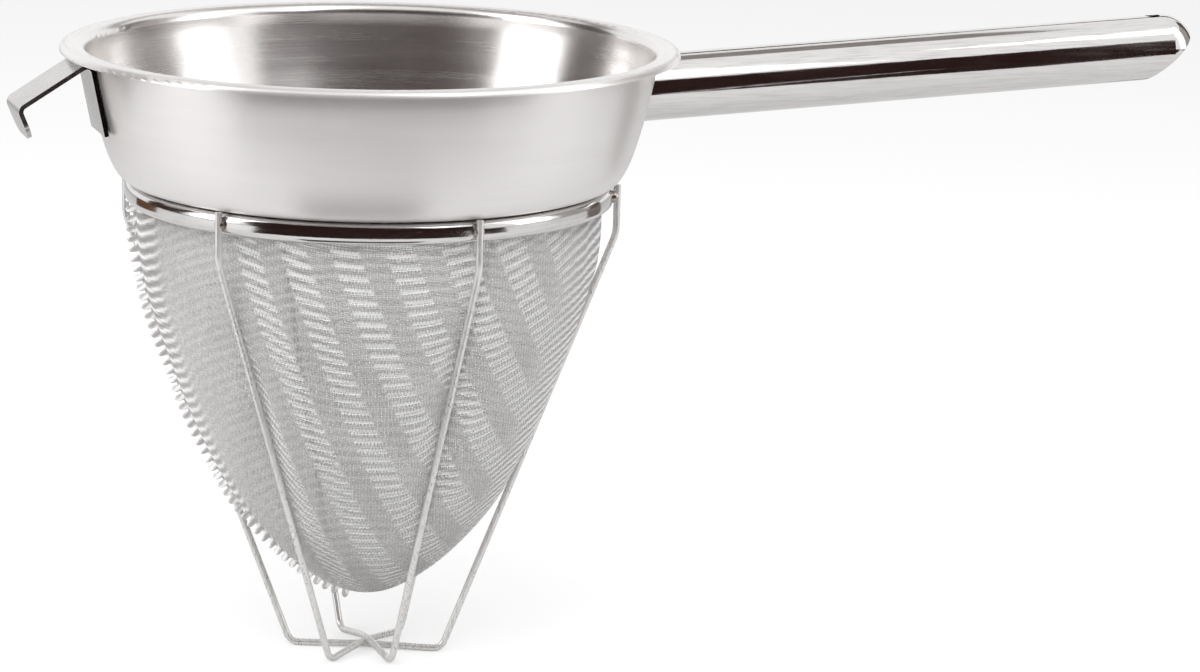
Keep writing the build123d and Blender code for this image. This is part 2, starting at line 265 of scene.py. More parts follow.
# name, tone, lowest and highest roughness, stretch of the grain, its scale, wear
finishes = {
    "satin": satinSteel(),
    "polished": brightSteel("polishedSteel", (0.76, 0.745, 0.735), 0.07, 0.15, (1, 1, 12), 90.0),
    "handle": brightSteel("handleSteel", (0.78, 0.765, 0.755), 0.05, 0.11, (1, 22, 22), 60.0),
    # the strap's side faces get painted shade and a painted gap shadow
    "strap": darkEdges(brightSteel("strapSteel", (0.70, 0.69, 0.68), 0.22, 0.34, (4, 30, 4), 60.0, 0.04)),
    "guard": hazed(brightSteel("guardSteel", (0.80, 0.785, 0.77), 0.26, 0.38, (9, 9, 1.2), 120.0, 0.02), 0.7),
    "weld": weldSteel(),
}
nodeFinish = {
    "bowl": ("satin", "satin_steel"), "clamp_ring": ("polished", "polished_steel"),
    "mesh_hoop": ("guard", "guard_steel"), "handle_tube": ("handle", "handle_steel"),
    "handle_weld": ("weld", "weld_steel"), "pot_hook": ("strap", "strap_steel"),
    "guard_wire_a": ("guard", "guard_steel"), "guard_wire_b": ("guard", "guard_steel"),
    "guard_wire_c": ("guard", "guard_steel"), "guard_tacks": ("weld", "weld_steel"),
}
for nodeName, (finish, slotName) in nodeFinish.items():
    nodes[nodeName].data.materials.clear()
    nodes[nodeName].data.materials.append(finishes[finish])
print("stage: finishes on the steel parts")


# Clamp ring: a band with a flat middle and rounded edges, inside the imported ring's outline

band = {
    "edgeRound": 3.0,         # power of the rounding: 2 is an oval, more is squarer
    "rings": 14,              # steps from the middle to each edge
    "columns": 240,
}


def clampBand():
    low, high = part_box("clamp_ring")
    middle = (low.z + high.z) / 2
    bulge = (high.z - low.z) / 2
    outline = []
    for step in range(-band["rings"], band["rings"] + 1):
        share = math.sin(math.pi / 2 * step / band["rings"])
        reach = (1 - abs(share) ** band["edgeRound"]) ** (1 / band["edgeRound"])
        outline.append((high.x - bulge + bulge * reach, middle + bulge * share))
    verts = []
    for column in range(band["columns"]):
        turn = math.tau * column / band["columns"]
        verts += [(radius * math.cos(turn), radius * math.sin(turn), height) for radius, height in outline]
    count = len(outline)
    faces = []
    for column in range(band["columns"]):
        here, after = column * count, (column + 1) % band["columns"] * count
        for index in range(count):
            onward = (index + 1) % count
            faces.append((here + index, after + index, after + onward, here + onward))
    mesh = bpy.data.meshes.new("clampBand")
    mesh.from_pydata(verts, [], faces)
    mesh.polygons.foreach_set("use_smooth", [True] * len(faces))
    return addPiece("clampBand", mesh)


ringPiece = clampBand()
ringPiece.data.materials.append(finishes["polished"])
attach(ringPiece, "root")
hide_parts("clamp_ring")


# Bag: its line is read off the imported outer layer, from the tip up to the ring

bag = {
    "seamTurn": 168.0,        # where the cloth's edges meet, degrees
    "grainTurn": 256.0,       # where its wires run level and upright
    "legTurns": (157.0, 219.3, 279.3),      # guard wires, each with a second leg half a turn on
    "fullTurn": 188.0,        # half way between two legs, where the cloth stands out most
    "legValley": 7.5,         # reach of the valley on each side of a leg, mm
    "layerStep": 0.95,        # outer to inner layer, mm
    "lineCount": 64,
    "lookOut": 0.4,           # rays for the full line start this far from the mouth's middle, m
    "lookBack": 4.0,          # rays for a valley start this far off the cloth, mm, and end at lookReach, m
    "lookReach": 0.02,
}


def turned(point, turn):
    return Matrix.Rotation(math.radians(turn), 3, "Z") @ point


def bagLine():      # the full line between two legs, and how deep each leg's valley lies below it
    mesh = bmesh.new()
    mesh.from_mesh(nodes["support_mesh"].data)
    surface = BVHTree.FromBMesh(mesh)
    ringLow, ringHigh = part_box("clamp_ring")
    centre = Vector((0, 0, ringLow.z))
    points = [Vector((0, 0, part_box("support_mesh")[0].z))]
    for step in range(1, bag["lineCount"]):
        lean = math.radians(-90 + 90 * step / (bag["lineCount"] - 0.5))
        away = Vector((math.cos(lean), 0, math.sin(lean)))
        start = turned(centre + away * bag["lookOut"], bag["fullTurn"])
        hit = surface.ray_cast(start, turned(-away, bag["fullTurn"]))[0]
        points.append(Vector((math.hypot(hit.x, hit.y), 0, hit.z)))
    standOff = bag["lookBack"] * mm
    valleys = [[0.0] * len(points) for turn in bag["legTurns"]]
    for index in range(1, len(points) - 1):
        run = (points[index + 1] - points[index - 1]).normalized()
        normal = Vector((run.z, 0, -run.x))
        for depths, turn in zip(valleys, bag["legTurns"]):
            start = turned(points[index] + normal * standOff, turn)
            hit = surface.ray_cast(start, turned(-normal, turn), bag["lookReach"])[0]
            if hit:
                depths[index] = max((hit - start).length - standOff, 0)
    points.append(Vector((points[-1].x, 0, ringHigh.z)))
    for depths in valleys:
        depths.append(0.0)
    mesh.free()
    return points, valleys


linePoints, lineValleys = bagLine()
lineLengths = [0.0]
for first, second in zip(linePoints, linePoints[1:]):
    lineLengths.append(lineLengths[-1] + (second - first).length)
bagReach = lineLengths[-1]


def lineAt(length):      # point, outward normal and valley depths at a length from the tip
    index = 1
    while index < len(lineLengths) - 1 and lineLengths[index] < length:
        index += 1
    share = (length - lineLengths[index - 1]) / (lineLengths[index] - lineLengths[index - 1])
    share = min(max(share, 0), 1)
    point = linePoints[index - 1].lerp(linePoints[index], share)
    after = linePoints[min(index + 1, len(linePoints) - 1)]
    run = (after - linePoints[index - 1]).normalized()
    depths = [values[index - 1] * (1 - share) + values[index] * share for values in lineValleys]
    return point, Vector((run.z, 0, -run.x)), depths


def valleyAt(turn, point, depths):      # how far the legs press the cloth in, turn in radians
    total = 0.0
    for legTurn, depth in zip(bag["legTurns"], depths):
        phase = (turn - math.radians(legTurn)) / math.pi
        distance = abs(phase - round(phase)) * math.pi * point.x / (bag["legValley"] * mm)
        total += depth * math.exp(-distance ** 2)
    return total


def clothPoint(length, turn, lift):
    point, normal, depths = lineAt(length)
    place = point + normal * (lift - valleyAt(turn, point, depths))
    return Vector((place.x * math.cos(turn), place.x * math.sin(turn), place.z))


# Outer layer: woven wires laid over the bag by geometry nodes

weave = {
    "pitch": 1.15,            # from wire to wire, mm
    "wireRadius": 0.14, "lift": 0.14, "wireSides": 3,
    "rowReach": 168,          # rows on each side of the grain's line
    "splitRow": 24,           # row at which a family of wires is cut into its two pieces
    "topGap": 3.0,            # from the cloth's edge to the end of its line, mm
}


def clothFields(tree, line, given):      # from a flat place on the cloth to its place on the bag
    position = addNode(tree, "GeometryNodeInputPosition").outputs["Position"]
    x, y, z = splitVector(tree, position)
    cross = sums(tree, "MULTIPLY", sums(tree, "SUBTRACT", y, x), given["Weft"])
    alongU = sums(tree, "ADD", x, cross)
    alongV = sums(tree, "SUBTRACT", y, cross)
    squares = sums(tree, "ADD", sums(tree, "MULTIPLY", alongU, alongU), sums(tree, "MULTIPLY", alongV, alongV))
    length = sums(tree, "MAXIMUM", sums(tree, "SQRT", squares), 0.00001)
    sampled = addNode(tree, "GeometryNodeSampleCurve", {"Curves": line, "Length": length}, mode="LENGTH")
    pointX, pointY, pointZ = splitVector(tree, sampled.outputs["Position"])
    runX, runY, runZ = splitVector(tree, sampled.outputs["Tangent"])
    fullness = sums(tree, "DIVIDE", pointX, length)
    start = sums(tree, "MULTIPLY", sums(tree, "SUBTRACT", given["Seam Turn"], given["Grain Turn"]), fullness)
    angle = sums(tree, "ARCTAN2", alongU, alongV)
    behind = sums(tree, "LESS_THAN", angle, start)
    angle = sums(tree, "ADD", angle, sums(tree, "MULTIPLY", behind, math.tau))
    end = sums(tree, "ADD", start, sums(tree, "MULTIPLY", fullness, math.tau))
    pastSeam = sums(tree, "GREATER_THAN", angle, end)
    pastTop = sums(tree, "GREATER_THAN", length, given["Reach"])
    outside = sums(tree, "MAXIMUM", pastSeam, pastTop)
    turn = sums(tree, "ADD", given["Grain Turn"], sums(tree, "DIVIDE", angle, fullness))
    pressed = 0.0
    for number in range(len(bag["legTurns"])):
        apart = sums(tree, "SUBTRACT", turn, given["Leg Turn " + str(number)])
        apart = sums(tree, "MULTIPLY", sums(tree, "PINGPONG", apart, math.pi / 2), pointX)
        ratio = sums(tree, "DIVIDE", apart, given["Leg Valley"])
        nearness = sums(tree, "EXPONENT", sums(tree, "MULTIPLY", sums(tree, "MULTIPLY", ratio, ratio), -1.0))
        depth = addNode(tree, "GeometryNodeInputNamedAttribute", {"Name": "valley" + str(number)}).outputs["Attribute"]
        inputs = {"Curves": line, "Value": depth, "Length": length}
        depthHere = addNode(tree, "GeometryNodeSampleCurve", inputs, mode="LENGTH").outputs["Value"]
        pressed = sums(tree, "ADD", pressed, sums(tree, "MULTIPLY", depthHere, nearness))
    rowU = sums(tree, "ROUND", sums(tree, "DIVIDE", alongU, given["Pitch"]))
    rowV = sums(tree, "ROUND", sums(tree, "DIVIDE", alongV, given["Pitch"]))
    odd = sums(tree, "FLOORED_MODULO", sums(tree, "ADD", sums(tree, "ADD", rowU, rowV), given["Weft"]), 2.0)
    lift = sums(tree, "MULTIPLY", sums(tree, "SUBTRACT", sums(tree, "MULTIPLY", odd, 2.0), 1.0), given["Lift"])
    proud = sums(tree, "SUBTRACT", lift, pressed)
    radius = sums(tree, "ADD", pointX, sums(tree, "MULTIPLY", runZ, proud))
    height = sums(tree, "SUBTRACT", pointZ, sums(tree, "MULTIPLY", runX, proud))
    placed = joinVector(tree, sums(tree, "MULTIPLY", radius, sums(tree, "COSINE", turn)),
                        sums(tree, "MULTIPLY", radius, sums(tree, "SINE", turn)), height)
    return outside, placed


def startTree(name, sockets):
    tree = bpy.data.node_groups.new(name, "GeometryNodeTree")
    tree.interface.new_socket("Geometry", in_out="INPUT", socket_type="NodeSocketGeometry")
    for socketName, kind in sockets.items():
        tree.interface.new_socket(socketName, in_out="INPUT", socket_type=kind)
    tree.interface.new_socket("Geometry", in_out="OUTPUT", socket_type="NodeSocketGeometry")
    given = addNode(tree, "NodeGroupInput").outputs
    return tree, given, addNode(tree, "NodeGroupOutput")


def endTree(tree, given, output, geometry):
    smooth = addNode(tree, "GeometryNodeSetShadeSmooth", {"Geometry": geometry}).outputs["Geometry"]
    real = addNode(tree, "GeometryNodeRealizeInstances", {"Geometry": smooth}).outputs["Geometry"]
    finish = addNode(tree, "GeometryNodeSetMaterial", {"Geometry": real, "Material": given["Material"]})
    tree.links.new(finish.outputs["Geometry"], output.inputs["Geometry"])


def weaveTree():
    number, whole, material = "NodeSocketFloat", "NodeSocketInt", "NodeSocketMaterial"
    sockets = {"Pitch": number, "Wire Radius": number, "Lift": number, "Weft": number, "First Row": whole,
               "Row Count": whole, "Point Reach": whole, "Wire Sides": whole, "Seam Turn": number,
               "Grain Turn": number, "Leg Valley": number, "Reach": number, "Material": material}
    for index in range(len(bag["legTurns"])):
        sockets["Leg Turn " + str(index)] = number
    tree, given, output = startTree("wovenCloth", sockets)
    line = addNode(tree, "GeometryNodeMeshToCurve", {"Mesh": given["Geometry"]}).outputs["Curve"]
    rowStart = joinVector(tree, sums(tree, "MULTIPLY", given["First Row"], given["Pitch"]), 0.0, 0.0)
    rowStep = joinVector(tree, given["Pitch"], 0.0, 0.0)
    inputs = {"Count": given["Row Count"], "Start Location": rowStart, "Offset": rowStep}
    rows = addNode(tree, "GeometryNodeMeshLine", inputs).outputs["Mesh"]
    halfWire = sums(tree, "MULTIPLY", sums(tree, "MULTIPLY", given["Point Reach"], given["Pitch"]), -1.0)
    pointCount = sums(tree, "ADD", sums(tree, "MULTIPLY", given["Point Reach"], 2.0), 1.0)
    wireStart = joinVector(tree, 0.0, halfWire, 0.0)
    wireStep = joinVector(tree, 0.0, given["Pitch"], 0.0)
    inputs = {"Count": pointCount, "Start Location": wireStart, "Offset": wireStep}
    wire = addNode(tree, "GeometryNodeMeshLine", inputs).outputs["Mesh"]
    laid = addNode(tree, "GeometryNodeInstanceOnPoints", {"Points": rows, "Instance": wire}).outputs["Instances"]
    flat = addNode(tree, "GeometryNodeRealizeInstances", {"Geometry": laid}).outputs["Geometry"]
    outside, placed = clothFields(tree, line, given)
    cut = addNode(tree, "GeometryNodeDeleteGeometry", {"Geometry": flat, "Selection": outside}).outputs["Geometry"]
    draped = addNode(tree, "GeometryNodeSetPosition", {"Geometry": cut, "Position": placed}).outputs["Geometry"]
    curves = addNode(tree, "GeometryNodeMeshToCurve", {"Mesh": draped}).outputs["Curve"]
    inputs = {"Resolution": given["Wire Sides"], "Radius": given["Wire Radius"]}
    outline = addNode(tree, "GeometryNodeCurvePrimitiveCircle", inputs).outputs["Curve"]
    inputs = {"Curve": curves, "Profile Curve": outline, "Fill Caps": True}
    tube = addNode(tree, "GeometryNodeCurveToMesh", inputs).outputs["Mesh"]
    endTree(tree, given, output, tube)
    return tree


def growFrom(tree, sourceMesh, name, settings):      # run a tree on a mesh and keep the result as a plain mesh
    carrier = bpy.data.objects.new(name + "Source", sourceMesh)
    scene.collection.objects.link(carrier)
    modifier = carrier.modifiers.new("grow", "NODES")
    modifier.node_group = tree
    for item in tree.interface.items_tree:
        if item.item_type == "SOCKET" and item.in_out == "INPUT" and item.name in settings:
            modifier[item.identifier] = settings[item.name]
    bpy.context.view_layer.update()
    grown = bpy.data.meshes.new_from_object(carrier.evaluated_get(bpy.context.evaluated_depsgraph_get()))
    carrier.modifiers.remove(modifier)
    bpy.data.objects.remove(carrier)
    return addPiece(name, grown)


def lineMesh(name, points, valleys):
    mesh = bpy.data.meshes.new(name)
    mesh.from_pydata([tuple(point) for point in points], [(i, i + 1) for i in range(len(points) - 1)], [])
    for number, depths in enumerate(valleys):
        mesh.attributes.new("valley" + str(number), "FLOAT", "POINT").data.foreach_set("value", depths)
    return mesh


# Painted band pattern where the two layers' wires fall in and out of step: painted highlights on the ribs, painted
# shade in the furrows and between the columns

bands = {
    "step": 3.75,             # from one rib to the next, mm
    "columnStep": 18.5,       # from one column of ribs to the next, mm
    "columnDrift": 0.40,      # how far a column strays per mm of height
    "columnStart": 17.6,      # moves all the columns round the bag, mm
    "columnEdge": (-0.3, 0.1),      # cosines between which a column fades in
    "meanFullness": 1.035,    # length along the bag against the straight way to its tip
    "rise": 26.0,             # full scale of the ribs' rise round the bag, mm
    "risePoints": (           # turn from the grain, share of the full scale
        (-180, 0.3), (-120, 0.28), (-92, 0.24), (-68, 0.40), (-50, 0.62), (-32, 0.46), (-15, 0.17), (4, 0.04),
        (22, 0.13), (45, 0.46), (64, 0.80), (78, 0.90), (94, 0.74), (140, 0.34), (180, 0.3)),
    "sideRibs": (46, 60),     # turns past which the ribs run on without columns
    "fadeTurn": -51,          # round this turn the ribs give way to plain weave
    "fadeReach": (9, 18),
}


def bandFields(tree):      # wave of the ribs, where they show, where they pause, and the place itself
    place = objectPlace(tree)
    x, y, z = splitVector(tree, place)
    radius = radiusOf(tree, x, y)
    rise = sums(tree, "SUBTRACT", z, linePoints[0].z)
    slant = sums(tree, "MULTIPLY", radiusOf(tree, radius, rise), bands["meanFullness"] / mm)
    grain = math.radians(bag["grainTurn"])
    turnedX = weighted(tree, x, math.cos(grain), y, math.sin(grain))
    turnedY = weighted(tree, y, math.cos(grain), x, -math.sin(grain))
    turn = sums(tree, "ARCTAN2", turnedY, turnedX)
    share = sums(tree, "ADD", sums(tree, "DIVIDE", turn, math.tau), 0.5)
    curve = addNode(tree, "ShaderNodeFloatCurve", {"Value": share})
    points = curve.mapping.curves[0].points
    first, *between, last = [(bearing / 360 + 0.5, value) for bearing, value in bands["risePoints"]]
    points[0].location = first
    for where, value in between:
        points.new(where, value)
    points[-1].location = last
    curve.mapping.update()
    lifted = sums(tree, "SUBTRACT", slant, sums(tree, "MULTIPLY", curve.outputs["Value"], bands["rise"]))
    fullness = sums(tree, "DIVIDE", radius, sums(tree, "MULTIPLY", slant, mm))
    angle = sums(tree, "MULTIPLY", turn, fullness)
    across = sums(tree, "MULTIPLY", slant, sums(tree, "SINE", angle))
    upward = sums(tree, "MULTIPLY", slant, sums(tree, "COSINE", angle))
    column = sums(tree, "ADD", across, sums(tree, "MULTIPLY", upward, bands["columnDrift"]))
    column = sums(tree, "ADD", column, bands["columnStart"])
    ribPhase = sums(tree, "MULTIPLY", lifted, math.tau / bands["step"])
    columnPhase = sums(tree, "MULTIPLY", column, math.tau / bands["columnStep"])
    degrees = sums(tree, "MULTIPLY", turn, 180 / math.pi)
    sides = blendStep(tree, sums(tree, "ABSOLUTE", degrees), *bands["sideRibs"])
    fromFade = sums(tree, "ABSOLUTE", sums(tree, "SUBTRACT", degrees, bands["fadeTurn"]))
    fade = blendStep(tree, fromFade, *bands["fadeReach"])
    columns = blendStep(tree, sums(tree, "COSINE", columnPhase), *bands["columnEdge"])
    window = sums(tree, "MAXIMUM", columns, sides)
    gap = sums(tree, "MULTIPLY", sums(tree, "SUBTRACT", 1.0, window), fade)
    return sums(tree, "COSINE", ribPhase), sums(tree, "MULTIPLY", window, fade), gap, place


wireTones = {
    "ribEdge": (0.35, 0.8),       # parts of the ribs' wave that get a painted highlight
    "furrowEdge": (0.1, -0.8),    # and painted shade
    "ribHighlight": (1.0, 1.0, 1.0, 1),
    "speckleScale": 1000.0, "speckleEdge": (0.38, 0.62), "speckleShade": 0.78,
    "gapShade": 0.5,              # how deep the painted shade is between the columns, against the furrows
    "haze": 0.3,                  # metallic share off the ribs
}


def meshFinish(name, tone, furrowShadeTone, roughness):
    material, tree, shader = newMaterial(name)
    rib, window, gap, place = bandFields(tree)
    # painted highlight on the ribs, painted shade in the furrows and between the columns
    lit = sums(tree, "MULTIPLY", blendStep(tree, rib, *wireTones["ribEdge"]), window)
    furrow = sums(tree, "MULTIPLY", blendStep(tree, rib, *wireTones["furrowEdge"]), window)
    shaded = sums(tree, "MAXIMUM", furrow, sums(tree, "MULTIPLY", gap, wireTones["gapShade"]))
    speckle = addNoise(tree, place, wireTones["speckleScale"], 1.0)
    speckle = blendStep(tree, speckle, *wireTones["speckleEdge"])
    shade = tuple(channel * wireTones["speckleShade"] for channel in tone)
    base = mixColour(tree, speckle, shade + (1,), tone + (1,))
    base = mixColour(tree, shaded, base, furrowShadeTone + (1,))
    base = mixColour(tree, lit, base, wireTones["ribHighlight"])
    feed(tree, shader.inputs["Base Color"], base)
    shader.inputs["Roughness"].default_value = roughness
    unlit = sums(tree, "SUBTRACT", 1.0, lit)
    feed(tree, shader.inputs["Metallic"], sums(tree, "MULTIPLY", unlit, wireTones["haze"]))
    return material, tree, shader, lit


# the second colour is the painted shade in the furrows
meshSteel = meshFinish("meshSteel", (0.84, 0.825, 0.82), (0.52, 0.505, 0.50), 0.3)[0]

clothSettings = {
    "Pitch": weave["pitch"] * mm, "Wire Radius": weave["wireRadius"] * mm, "Lift": weave["lift"] * mm,
    "Wire Sides": weave["wireSides"], "Point Reach": weave["rowReach"],
    "Seam Turn": math.radians(bag["seamTurn"]), "Grain Turn": math.radians(bag["grainTurn"]),
    "Leg Valley": bag["legValley"] * mm, "Reach": bagReach - weave["topGap"] * mm,
    "Material": meshSteel,
}
for number, turn in enumerate(bag["legTurns"]):
    clothSettings["Leg Turn " + str(number)] = math.radians(turn)
bagLineMesh = lineMesh("bagLine", linePoints, lineValleys)
clothTree = weaveTree()
lastRow, splitRow = weave["rowReach"], weave["splitRow"]
for weft, family in ((0.0, "warp"), (1.0, "weft")):
    for half, firstRow, rowCount in (("A", -lastRow, lastRow + splitRow), ("B", splitRow, lastRow - splitRow + 1)):
        settings = dict(clothSettings)
        settings.update({"Weft": weft, "First Row": firstRow, "Row Count": rowCount})
        piece = growFrom(clothTree, bagLineMesh, family + "Wires" + half, settings)
        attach(piece, "root")
        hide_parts("support_mesh")


# Inner layer: fine cloth as a thin open shell

fine = {
    "pitchU": 0.592, "pitchV": 0.679,      # from wire to wire, mm
    "skew": 0.74,             # turn against the outer layer, degrees
    "wireShare": 0.26,        # part of a step that a wire takes up
    "closedShare": 0.6,       # added where the ribs are, which look closed
    "topGap": 4.0,            # from its edge to the end of the bag's line, mm
    "relief": 0.7, "reliefDepth": 0.0002,
    "rings": 96, "columns": 288,
}


def fineCloth():
    mesh = bmesh.new()
    uvLayer = mesh.loops.layers.uv.new("cloth")
    seam = math.radians(bag["seamTurn"])
    grain = math.radians(bag["grainTurn"])
    rows = []
    for ring in range(1, fine["rings"] + 1):
        length = (bagReach - fine["topGap"] * mm) * ring / fine["rings"]
        row = []
        for column in range(fine["columns"]):
            turn = seam + math.tau * column / fine["columns"]
            row.append(mesh.verts.new(clothPoint(length, turn, -bag["layerStep"] * mm)))
        rows.append((length, row))
    tip = mesh.verts.new(clothPoint(0.0, 0.0, -bag["layerStep"] * mm))

    def flatPlace(length, column):
        point = lineAt(length)[0]
        angle = (seam + math.tau * column / fine["columns"] - grain) * point.x / max(length, 0.00001)
        return (length / mm * math.sin(angle), length / mm * math.cos(angle))

    def addFace(verts, places):
        face = mesh.faces.new(verts)
        face.smooth = True
        for loop, place in zip(face.loops, places):
            loop[uvLayer].uv = place

    for column in range(fine["columns"]):
        after = (column + 1) % fine["columns"]
        length, row = rows[0]
        addFace((tip, row[after], row[column]), ((0, 0), flatPlace(length, column + 1), flatPlace(length, column)))
        for (lowLength, low), (highLength, high) in zip(rows, rows[1:]):
            addFace((low[column], low[after], high[after], high[column]),
                    (flatPlace(lowLength, column), flatPlace(lowLength, column + 1),
                     flatPlace(highLength, column + 1), flatPlace(highLength, column)))
    mesh.normal_update()
    made = bpy.data.meshes.new("fineCloth")
    mesh.to_mesh(made)
    mesh.free()
    return addPiece("fineCloth", made)


def fineFinish():      # see-through between its wires, which stand in relief
    # the second colour is the painted shade in the furrows, the ribs get a painted highlight
    material, tree, shader, lit = meshFinish("fineMeshSteel", (0.80, 0.785, 0.78), (0.46, 0.445, 0.44), 0.34)
    flat = addNode(tree, "ShaderNodeUVMap", uv_map="cloth").outputs["UV"]
    inputs = {"Vector": flat, "Rotation": (0, 0, math.radians(fine["skew"]))}
    u, v, w = splitVector(tree, addNode(tree, "ShaderNodeMapping", inputs).outputs["Vector"])
    rowsU = sums(tree, "PINGPONG", sums(tree, "DIVIDE", u, fine["pitchU"]), 0.5)
    rowsV = sums(tree, "PINGPONG", sums(tree, "DIVIDE", v, fine["pitchV"]), 0.5)
    closest = sums(tree, "MINIMUM", rowsU, rowsV)
    closed = sums(tree, "MULTIPLY", lit, fine["closedShare"] / 2)
    wires = sums(tree, "LESS_THAN", closest, sums(tree, "ADD", fine["wireShare"] / 2, closed))
    feed(tree, shader.inputs["Alpha"], wires)
    height = blendStep(tree, closest, 0.0, fine["wireShare"] / 2, 1.0, 0.0)
    addBump(tree, shader, height, fine["relief"], fine["reliefDepth"])
    return material


innerCloth = fineCloth()
innerCloth.data.materials.append(fineFinish())
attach(innerCloth, "root")
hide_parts("fine_mesh")
print("stage: bag layers")


# Seam: a folded edge gathered into rounded teeth, down one side of the bag

seam = {
    "height": 1.2, "thickness": 1.1,      # of the fold, mm
    "foldSteps": 120, "foldTopGap": 6.0, "foldStart": 0.02,
    "shoulder": 0.7,          # height of the fold's shoulder, share of its height
    "crestShare": 0.4,        # width of its crest, share of its thickness
    "sink": 0.1,              # how far its root lies in the cloth, mm
    "ripple": 0.18, "rippleTurn": 1.7,
    "lineSteps": 80, "lineTopGap": 8.0, "lineStart": 0.04,
    "toothStep": 3.45, "toothHalfLength": 1.25, "toothHalfThickness": 0.9, "toothReach": 4.0, "toothRoot": 0.5,
    "toothSteps": 9, "toothSides": 12,
    "toothRound": 7.0,        # power of the rounding toward its end
    "toothEnd": 1.02,         # above 1, so that the end keeps a small flat
}


def shareOfReach(step, count, start, topGap):
    return (bagReach - topGap * mm) * (start + (1 - start) * step / count)


def seamStrip():
    mesh = bmesh.new()
    turn = math.radians(bag["seamTurn"])
    side = Vector((-math.sin(turn), math.cos(turn), 0)) * seam["thickness"] / 2 * mm
    crestSide = side * seam["crestShare"]
    rings = []
    for step in range(seam["foldSteps"] + 1):
        length = shareOfReach(step, seam["foldSteps"], seam["foldStart"], seam["foldTopGap"])
        ripple = seam["ripple"] * math.sin(step * seam["rippleTurn"]) * mm
        root = clothPoint(length, turn, -seam["sink"] * mm)
        crest = clothPoint(length, turn, seam["height"] * mm + ripple)
        shoulder = clothPoint(length, turn, seam["height"] * seam["shoulder"] * mm + ripple)
        section = (root - side, shoulder - side, crest - crestSide, crest + crestSide, shoulder + side, root + side)
        rings.append([mesh.verts.new(point) for point in section])
    for first, second in zip(rings, rings[1:]):
        for index in range(len(first)):
            after = (index + 1) % len(first)
            mesh.faces.new((first[index], first[after], second[after], second[index]))
    mesh.faces.new(rings[0])
    mesh.faces.new(list(reversed(rings[-1])))
    bmesh.ops.recalc_face_normals(mesh, faces=mesh.faces)
    made = bpy.data.meshes.new("seamFold")
    mesh.to_mesh(made)
    mesh.free()
    return addPiece("seamFold", made)


def seamLine():      # crest of the fold, with the way outward kept at each point
    turn = math.radians(bag["seamTurn"])
    count = seam["lineSteps"]
    lengths = [shareOfReach(step, count, seam["lineStart"], seam["lineTopGap"]) for step in range(count + 1)]
    crest = [clothPoint(length, turn, 0.0) for length in lengths]
    above = [clothPoint(length, turn, 1 * mm) for length in lengths]
    mesh = bpy.data.meshes.new("seamLine")
    mesh.from_pydata(crest, [(i, i + 1) for i in range(count)], [])
    outward = [value for low, high in zip(crest, above) for value in (high - low).normalized()]
    mesh.attributes.new("outward", "FLOAT_VECTOR", "POINT").data.foreach_set("vector", outward)
    return mesh


def toothTree():      # rounded teeth that stand out along the fold at a fixed step
    number, whole = "NodeSocketFloat", "NodeSocketInt"
    sockets = {"Step": number, "Half Length": number, "Half Thickness": number, "Reach": number, "Root": number,
               "Tooth Steps": whole, "Tooth Sides": whole, "Material": "NodeSocketMaterial"}
    tree, given, output = startTree("seamTeeth", sockets)
    line = addNode(tree, "GeometryNodeMeshToCurve", {"Mesh": given["Geometry"]}).outputs["Curve"]
    inputs = {"Curve": line, "Length": given["Step"]}
    spots = addNode(tree, "GeometryNodeResampleCurve", inputs, mode="LENGTH").outputs["Curve"]
    outward = addNode(tree, "GeometryNodeInputNamedAttribute", {"Name": "outward"}, data_type="FLOAT_VECTOR")
    along = addNode(tree, "GeometryNodeInputTangent").outputs["Tangent"]
    raised = addNode(tree, "FunctionNodeAlignRotationToVector", {"Vector": outward.outputs["Attribute"]}, axis="Z")
    inputs = {"Rotation": raised.outputs["Rotation"], "Vector": along}
    facing = addNode(tree, "FunctionNodeAlignRotationToVector", inputs, axis="X", pivot_axis="Z").outputs["Rotation"]
    root = joinVector(tree, 0.0, 0.0, sums(tree, "MULTIPLY", given["Root"], -1.0))
    crest = joinVector(tree, 0.0, 0.0, given["Reach"])
    bar = addNode(tree, "GeometryNodeCurvePrimitiveLine", {"Start": root, "End": crest}).outputs["Curve"]
    bar = addNode(tree, "GeometryNodeResampleCurve", {"Curve": bar, "Count": given["Tooth Steps"]}).outputs["Curve"]
    factor = addNode(tree, "GeometryNodeSplineParameter").outputs["Factor"]
    narrowing = sums(tree, "POWER", factor, seam["toothRound"])
    rounding = sums(tree, "SQRT", sums(tree, "SUBTRACT", seam["toothEnd"], narrowing))
    inputs = {"Resolution": given["Tooth Sides"], "Radius": 1.0}
    ring = addNode(tree, "GeometryNodeCurvePrimitiveCircle", inputs).outputs["Curve"]
    flat = joinVector(tree, given["Half Length"], given["Half Thickness"], 1.0)
    ring = addNode(tree, "GeometryNodeTransform", {"Geometry": ring, "Scale": flat}).outputs["Geometry"]
    inputs = {"Curve": bar, "Profile Curve": ring, "Fill Caps": True, "Scale": rounding}
    tooth = addNode(tree, "GeometryNodeCurveToMesh", inputs).outputs["Mesh"]
    inputs = {"Points": spots, "Instance": tooth, "Rotation": facing}
    placed = addNode(tree, "GeometryNodeInstanceOnPoints", inputs).outputs["Instances"]
    endTree(tree, given, output, placed)
    return tree


toothSettings = {
    "Step": seam["toothStep"] * mm, "Half Length": seam["toothHalfLength"] * mm, "Root": seam["toothRoot"] * mm,
    "Half Thickness": seam["toothHalfThickness"] * mm, "Reach": seam["toothReach"] * mm,
    "Tooth Steps": seam["toothSteps"], "Tooth Sides": seam["toothSides"], "Material": meshSteel,
}
seamPiece = seamStrip()
seamPiece.data.materials.append(meshSteel)
teethPiece = growFrom(toothTree(), seamLine(), "seamTeeth", toothSettings)
for piece in (seamPiece, teethPiece):
    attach(piece, "root")
    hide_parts("mesh_seam")
print("stage: seam")


# Camera at the photograph's angle

